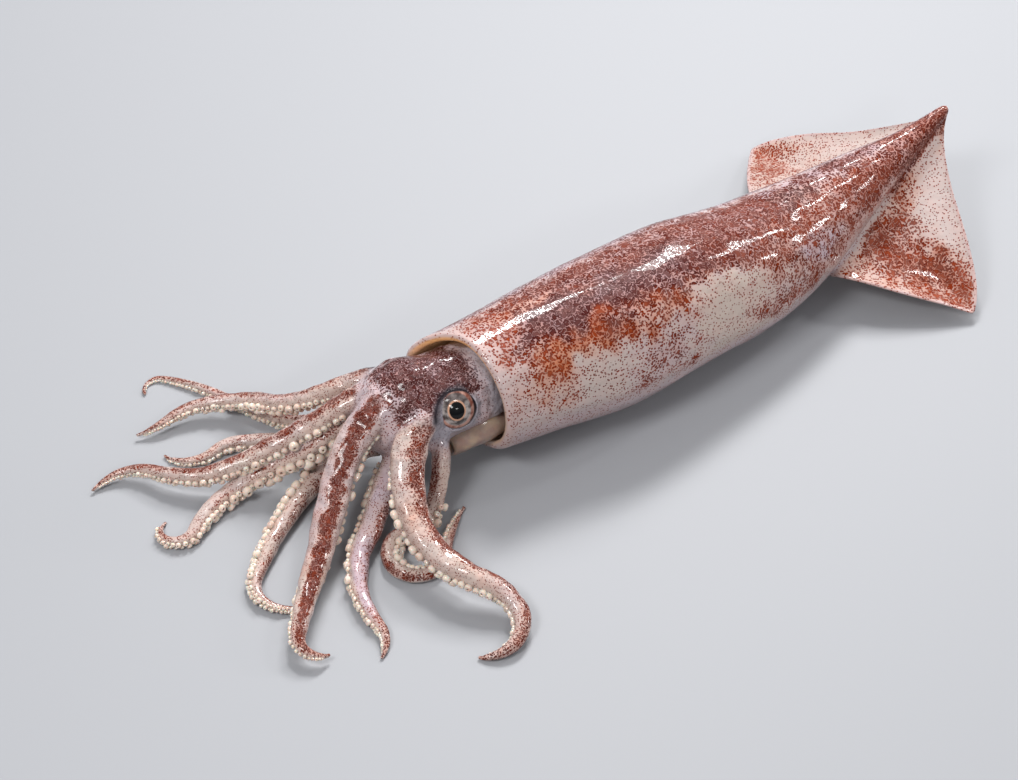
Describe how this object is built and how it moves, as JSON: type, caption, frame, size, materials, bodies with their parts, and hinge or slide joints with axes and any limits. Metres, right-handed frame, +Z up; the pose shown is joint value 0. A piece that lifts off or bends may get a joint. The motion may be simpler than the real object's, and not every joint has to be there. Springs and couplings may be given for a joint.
{
  "type": "whole raw squid",
  "caption": "Whole raw squid lying belly down: speckled mantle with a raised tail and drooping fins, head in its open mouth, eyes, funnel and spread curling arms.",
  "frame": {"origin": "bottom centre of the whole squid's box, on the surface that it lies on", "axes": "+X along the mantle towards the tail, +Y towards the squid's right side, +Z up"},
  "size_m": [0.328, 0.1738, 0.0521],
  "materials": {
    "mantle_skin": "wet translucent pinkish-white skin, densely speckled red-brown to purple along the back",
    "head_skin": "wet skin, dark red-brown dapples on the crown and along each arm, peach to lilac-white sides",
    "suckers": "cream-white glossy cups",
    "pale_flesh": "wet translucent pale flesh",
    "eye": "clear wet eyeball with a silver and copper iris round a black pupil"
  },
  "bodies": {
    "root": {"mantle_and_fins": "mantle_skin", "head_and_arms": "head_skin", "left_eye": "eye", "right_eye": "eye", "funnel": "pale_flesh"}
  },
  "joints": []
}
